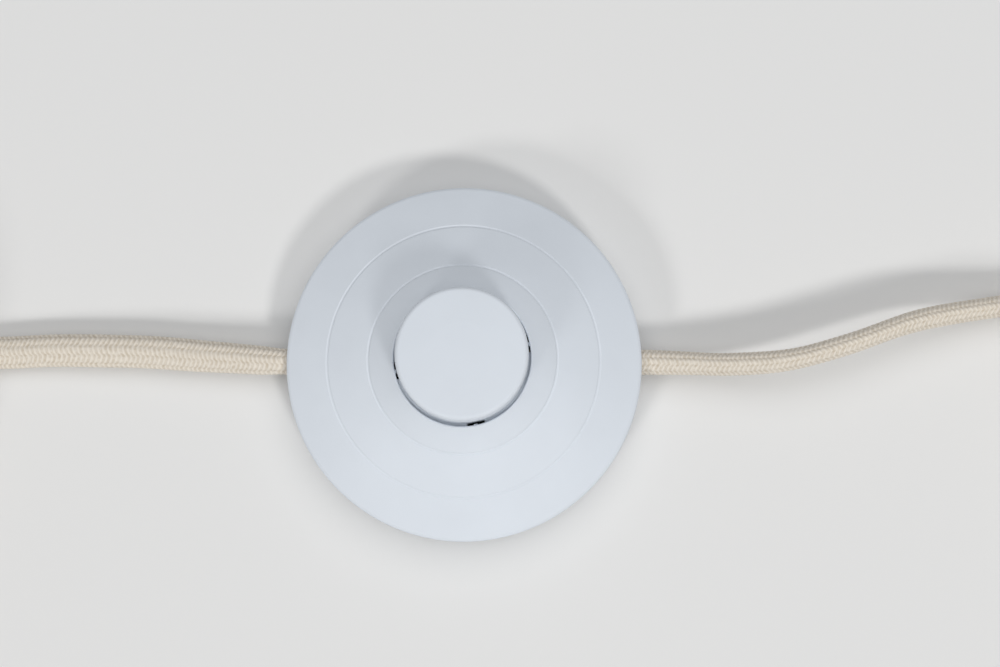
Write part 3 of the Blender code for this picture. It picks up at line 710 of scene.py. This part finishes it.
def top_cover(look):
    """The conical cover with its two rings, its barrel for the button, its ribs and its screw posts."""
    outline = [(SKIRT_INNER_R, SKIRT_BOTTOM_Z, 0.15), (34.3, SKIRT_BOTTOM_Z, 0.3), (RIM_R, 9.2, 0.8),
               (34.9, 9.75, 0.3), (CONE_FOOT_R, CONE_FOOT_Z, 0.5)]
    for r in GROOVE_RADII:
        floor = cone_z(r) - GROOVE_DEPTH
        outline += [(r + GROOVE_HALF, cone_z(r + GROOVE_HALF), 0.12), (r + 0.1, floor, 0.1),
                    (r - 0.1, floor + 0.08, 0.1), (r - GROOVE_HALF, cone_z(r - GROOVE_HALF), 0.12)]
    outline += [(HOLE_R, cone_z(HOLE_R), 0.35), (HOLE_R, LEDGE_Z, 0.1), (BARREL_R, ledge_z(BARREL_R), 0.0),
                (BARREL_R, BARREL_BOTTOM_Z, 0.2), (BARREL_OUTER_R, BARREL_BOTTOM_Z, 0.2),
                (BARREL_OUTER_R, cone_z(BARREL_OUTER_R) - COVER_WALL, 0.3),
                (32.6, cone_z(32.6) - COVER_WALL, 0.5), (SKIRT_INNER_R, 7.8, 0.4)]
    added = [guide_rib(angle) for angle in RIB_ANGLES]
    removed = []
    for angle in CASE_SCREW_ANGLES:
        x, y = on_circle(CASE_SCREW_R, angle)
        added.append(prism(circle(x, y, SCREW_POST_R), *SCREW_POST_Z))
        removed.append(prism(circle(x, y, SCREW_HOLE_R), *SCREW_HOLE_Z))
    removed += [doorway(-37.0, -30.5), doorway(30.5, 37.0)]
    mesh = carved("top_cover_shell", lathe(filleted(outline), 192), added, removed)
    piece = placed("top_cover_shell", mesh, look, "housing")
    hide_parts("top_cover")


def button(look):
    """The button with its rounded edge, and its flange with a notch for each rib."""
    outline = [(BUTTON_INNER_R, FLANGE_BOTTOM_Z, 0.1), (FLANGE_R, FLANGE_BOTTOM_Z, 0.2),
               (FLANGE_R, ledge_z(FLANGE_R) - FLANGE_GAP, 0.2),
               (BUTTON_R, ledge_z(BUTTON_R) - FLANGE_GAP, 0.15),
               (BUTTON_R, 26.8, 0.9), (6.0, 27.12, 2.0), (0.0, BUTTON_TOP_Z, 0.0), (0.0, 25.2, 0.0),
               (BUTTON_INNER_R, 25.0, 0.4)]
    notches = []
    for angle in RIB_ANGLES:
        bar = turned_about(rectangle(BUTTON_R + 0.05, FLANGE_R + 1.0, -NOTCH_HALF, NOTCH_HALF), angle)
        notches.append(prism(bar, FLANGE_BOTTOM_Z - 0.8, LEDGE_Z + 0.2))
    mesh = carved("button_shell", lathe(filleted(outline, 8), 192), (), notches)
    mesh.transform(Matrix.Translation((BUTTON_PLAY[0] * MM, BUTTON_PLAY[1] * MM, 0.0)))
    piece = placed("button_shell", mesh, look, "button")
    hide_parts("button_cap")


def return_spring(look):
    """The wire spring under the pusher, fixed to the housing."""
    sides, steps = 12, SPRING_TURNS * 40
    sections = []
    for share in np.linspace(0.0, 1.0, steps + 1):
        height = SPRING_Z[0] + (SPRING_Z[1] - SPRING_Z[0]) * share
        section = []
        for n in range(sides):
            out, down = on_circle(WIRE_R, 360.0 * n / sides)
            section.append((*on_circle(SPRING_R + out, 360.0 * SPRING_TURNS * share), height - down))
        sections.append(section)
    piece = placed("spring_wire", mesh_from("spring_wire", *loft(sections)), look, "housing")
    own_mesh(piece)
    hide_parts("return_spring")


# ---------------------------------------------------------------- plug, ties and ends

def plug_section(x, half_width, half_height, corner):
    points = []
    for cy, cz, start in ((1, 1, 0), (-1, 1, 90), (-1, -1, 180), (1, -1, 270)):
        for step in range(0, 91, 10):
            y, z = on_circle(corner, start + step)
            points.append((x, PLUG_Y + cy * (half_width - corner) + y,
                           PLUG_AXIS_Z + cz * (half_height - corner) + z))
    return points


def smooth_sizes(knots, spacing):
    """Evenly close stations along the plug, smoothly between (along, half width, half height, corner)."""
    table = np.array(knots)
    slopes = np.gradient(table[:, 1:], table[:, 0], axis=0)
    rows = []
    for k in range(len(table) - 1):
        x0, x1 = table[k, 0], table[k + 1, 0]
        steps = max(1, round((x1 - x0) / spacing))
        for n in range(steps):
            t, gap = n / steps, x1 - x0
            near = (1 + 2 * t) * (1 - t) ** 2 * table[k, 1:] + t * t * (3 - 2 * t) * table[k + 1, 1:]
            bend = t * (1 - t) ** 2 * gap * slopes[k] + t * t * (t - 1) * gap * slopes[k + 1]
            rows.append((x0 + t * gap, *(near + bend)))
    return rows + [tuple(table[-1])]


def plug_body(look):
    """A flat body with a rounded face, two wells for the pins and a ribbed tail."""
    tail = []
    for k in range(3):
        start = 0.6 + 2.5 * k
        size = 4.25 + 0.15 * k
        for along, shrink in ((0.0, 0.55), (0.12, 0.15), (0.35, 0.0), (1.15, 0.0), (1.38, 0.15), (1.5, 0.55)):
            tail.append((start + along, size - shrink, size - 0.55 - shrink, size - 0.75 - shrink))
    width, height, corner = 17.62, 6.83, 6.2
    edge = 1.6
    body = smooth_sizes([(8.3, 4.5, 3.95, 3.8), (10.0, 5.3, 4.5, 4.3), (13.0, 7.6, 5.9, 5.0),
                         (19.0, 13.2, 6.7, 5.8), (26.0, 16.6, 6.8, 6.1), (34.0, 17.5, height, corner),
                         (PLUG_LENGTH - edge, width, height, corner)], 0.8)
    face = []
    for k in range(1, 8):
        angle = math.radians(90.0 * k / 7)
        sunk = edge * (1 - math.cos(angle))
        face.append((PLUG_LENGTH - edge + edge * math.sin(angle), width - sunk, height - sunk, corner - sunk))
    stations = [(0.0, 3.7, 3.2, 3.1), (0.3, 3.8, 3.3, 3.2)] + tail + body + face
    sections = [plug_section(PLUG_TAIL_X - along, w, h, c) for along, w, h, c in stations]
    points, faces = loft(sections)
    faces = [tuple(reversed(face)) for face in faces]
    wells = []
    for away in (-1, 1):
        opening = circle(PLUG_Y + away * PIN_HALF_SPACING, PLUG_AXIS_Z, PIN_WELL_R, 32)
        wells.append(loft([[(x, y, z) for y, z in opening] for x in (PLUG_FACE_X - 2.0, PLUG_FACE_X + 6.0)]))
    mesh = carved("plug_shell", (points, faces), (), wells)
    shell = placed("plug_shell", mesh, look, "housing")
    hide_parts("plug_body")
    return shell


def pin_shape(rows, y, lean, hollow=False):
    """A turned bar along -X from (distance past the plug's face, radius) rows, leaning in as it goes."""
    sides = 32
    rings = []
    for x, r in rows:
        middle = y + lean * max(0.0, -x)
        rings.append([(PLUG_FACE_X + x, middle + r * math.cos(a), PLUG_AXIS_Z - r * math.sin(a))
                      for a in np.linspace(0, 2 * math.pi, sides + 1)[:-1]])
    points, faces = loft(rings)
    if hollow:
        last = (len(rows) - 1) * sides
        faces = faces[2:]
        faces += [(last + n, last + (n + 1) % sides, (n + 1) % sides, n) for n in range(sides)]
    return points, faces


def plug_pin(number, away, black, metal_look):
    """One round pin with its black sleeve, which covers the half beside the plug."""
    y = PLUG_Y + away * PIN_HALF_SPACING
    lean = -away * PIN_LEAN
    rows = [(5.7, 0.85 * PIN_R), (-9.6, 0.85 * PIN_R), (-9.75, PIN_R - 0.12), (-9.9, PIN_R - 0.12),
            (-10.0, PIN_R), (-17.2, PIN_R), (-18.0, 1.85), (-18.55, 1.55), (-18.87, 1.1), (-18.99, 0.5)]
    mesh = mesh_from("pin", *pin_shape(rows, y, lean))
    metal_pin = placed(f"pin_metal_{number}", mesh, metal_look, "housing")
    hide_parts(f"plug_pin_{number}")
    rows = [(5.6, PIN_R), (-9.3, PIN_R), (-9.55, PIN_R - 0.15), (-9.6, 1.75), (5.6, 1.75)]
    mesh = mesh_from("sleeve", *pin_shape(rows, y, lean, hollow=True))
    return [metal_pin, placed(f"pin_sleeve_{number}", mesh, black, "housing")]


def coil_tie(name, centre, radii, heights, angle, look, node):
    """A strap round a coil's section, with rounded corners and rolled edges."""
    half_width, thick = TIE_HALF_WIDTH, TIE_THICK
    x0, x1 = radii[0] - TIE_GAP, radii[1] + TIE_GAP
    z0, z1 = heights[0] - 0.3, heights[1] + 0.3
    inner = filleted([(x0, z0, 1.6), (x1, z0, 1.6), (x1, z1, 1.6), (x0, z1, 1.6)], 6)
    outer = filleted([(x0 - thick, z0 - thick, 2.2), (x1 + thick, z0 - thick, 2.2),
                      (x1 + thick, z1 + thick, 2.2), (x0 - thick, z1 + thick, 2.2)], 6)
    rings = []
    for (ix, iz), (ox, oz) in zip(inner, outer):
        ring = []
        for share, y in ((0.0, -half_width + 0.2), (0.0, half_width - 0.2), (0.25, half_width),
                         (0.75, half_width), (1.0, half_width - 0.2), (1.0, -half_width + 0.2),
                         (0.75, -half_width), (0.25, -half_width)):
            x, z = ix + (ox - ix) * share, iz + (oz - iz) * share
            (px, py), = turned_about([(x, y)], angle)
            ring.append((px + centre[0], py + centre[1], z))
        rings.append(ring)
    points, faces = loft(rings)
    faces = faces[2:]
    count = len(rings[0])
    last = (len(rings) - 1) * count
    faces += [(last + n, last + (n + 1) % count, (n + 1) % count, n) for n in range(count)]
    faces = [tuple(reversed(face)) for face in faces]
    piece = placed(name, mesh_from(name, points, faces), look, "housing")
    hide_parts(node)
    return piece


def paint_cad_nodes(looks):
    """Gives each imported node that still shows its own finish."""
    for name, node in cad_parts.items():
        look = next((made for start, made in looks if name.startswith(start)), None)
        if look is None:
            continue
        node.data.materials.clear()
        node.data.materials.append(look)
        smooth(node.data, 30.0)


def build():
    make_camera()
    make_studio()
    textile_look = textile()
    white = plastic("white_plastic", (0.715, 0.762, 0.822), 0.55)
    plug_white = plastic("plug_white", (0.72, 0.73, 0.74), 0.35)
    black = plastic("black_plastic", (0.03, 0.03, 0.032), 0.45)
    natural = plastic("natural_plastic", (0.70, 0.68, 0.60), 0.45)
    brass = metal("brass", (0.78, 0.58, 0.27))
    steel = metal("steel", (0.62, 0.63, 0.65))
    plated = metal("plated_metal", (0.70, 0.70, 0.69), 0.22, (30, 1, 1))
    strap = webbing()

    mains = mains_line()
    lamp = lamp_line()
    mains_cord = textile_cord("mains_textile_cord", mains, MAINS_SIZES, MAINS_FINE_LENGTH, textile_look)
    lamp_cord = textile_cord("lamp_textile_cord", lamp, LAMP_SIZES, LAMP_FINE_LENGTH, textile_look)
    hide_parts("mains_cord", "mains_coil", "mains_cord_end")
    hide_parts("lamp_cord", "lamp_coil", "lamp_cord_end")

    top_cover(white)
    button(white)
    return_spring(steel)
    plug_pieces = [plug_body(plug_white)]
    for number, away in ((1, -1), (2, 1)):
        plug_pieces += plug_pin(number, away, black, plated)
    mains_tie = coil_tie("mains_strap", MAINS_COIL_CENTRE, MAINS_COIL_RADII, MAINS_COIL_Z,
                         MAINS_TIE_ANGLE, strap, "mains_coil_tie")
    lamp_tie = coil_tie("lamp_strap", LAMP_COIL_CENTRE, LAMP_COIL_RADII, LAMP_COIL_Z,
                        LAMP_TIE_ANGLE, strap, "lamp_coil_tie")
    brown = plastic("brown_insulation", (0.16, 0.07, 0.03), 0.4)
    blue = plastic("blue_insulation", (0.03, 0.12, 0.42), 0.4)
    paint_cad_nodes((("base_tray", black), ("foot", rubber("rubber")), ("case_screw", steel),
                     ("button_pusher", natural), ("rotor", black),
                     ("contact_bridge", brass), ("live_", brass), ("neutral_link", brass),
                     ("terminal_screw", steel), ("cord_clamp", natural), ("clamp_screw", steel),
                     ("mains_live_core", brown), ("lamp_live_core", brown),
                     ("mains_neutral_core", blue), ("lamp_neutral_core", blue),
                     ("lamp_tail_live", brown), ("lamp_tail_neutral", blue),
                     ("lamp_end_sleeve", black), ("ferrule", plated)))


build()
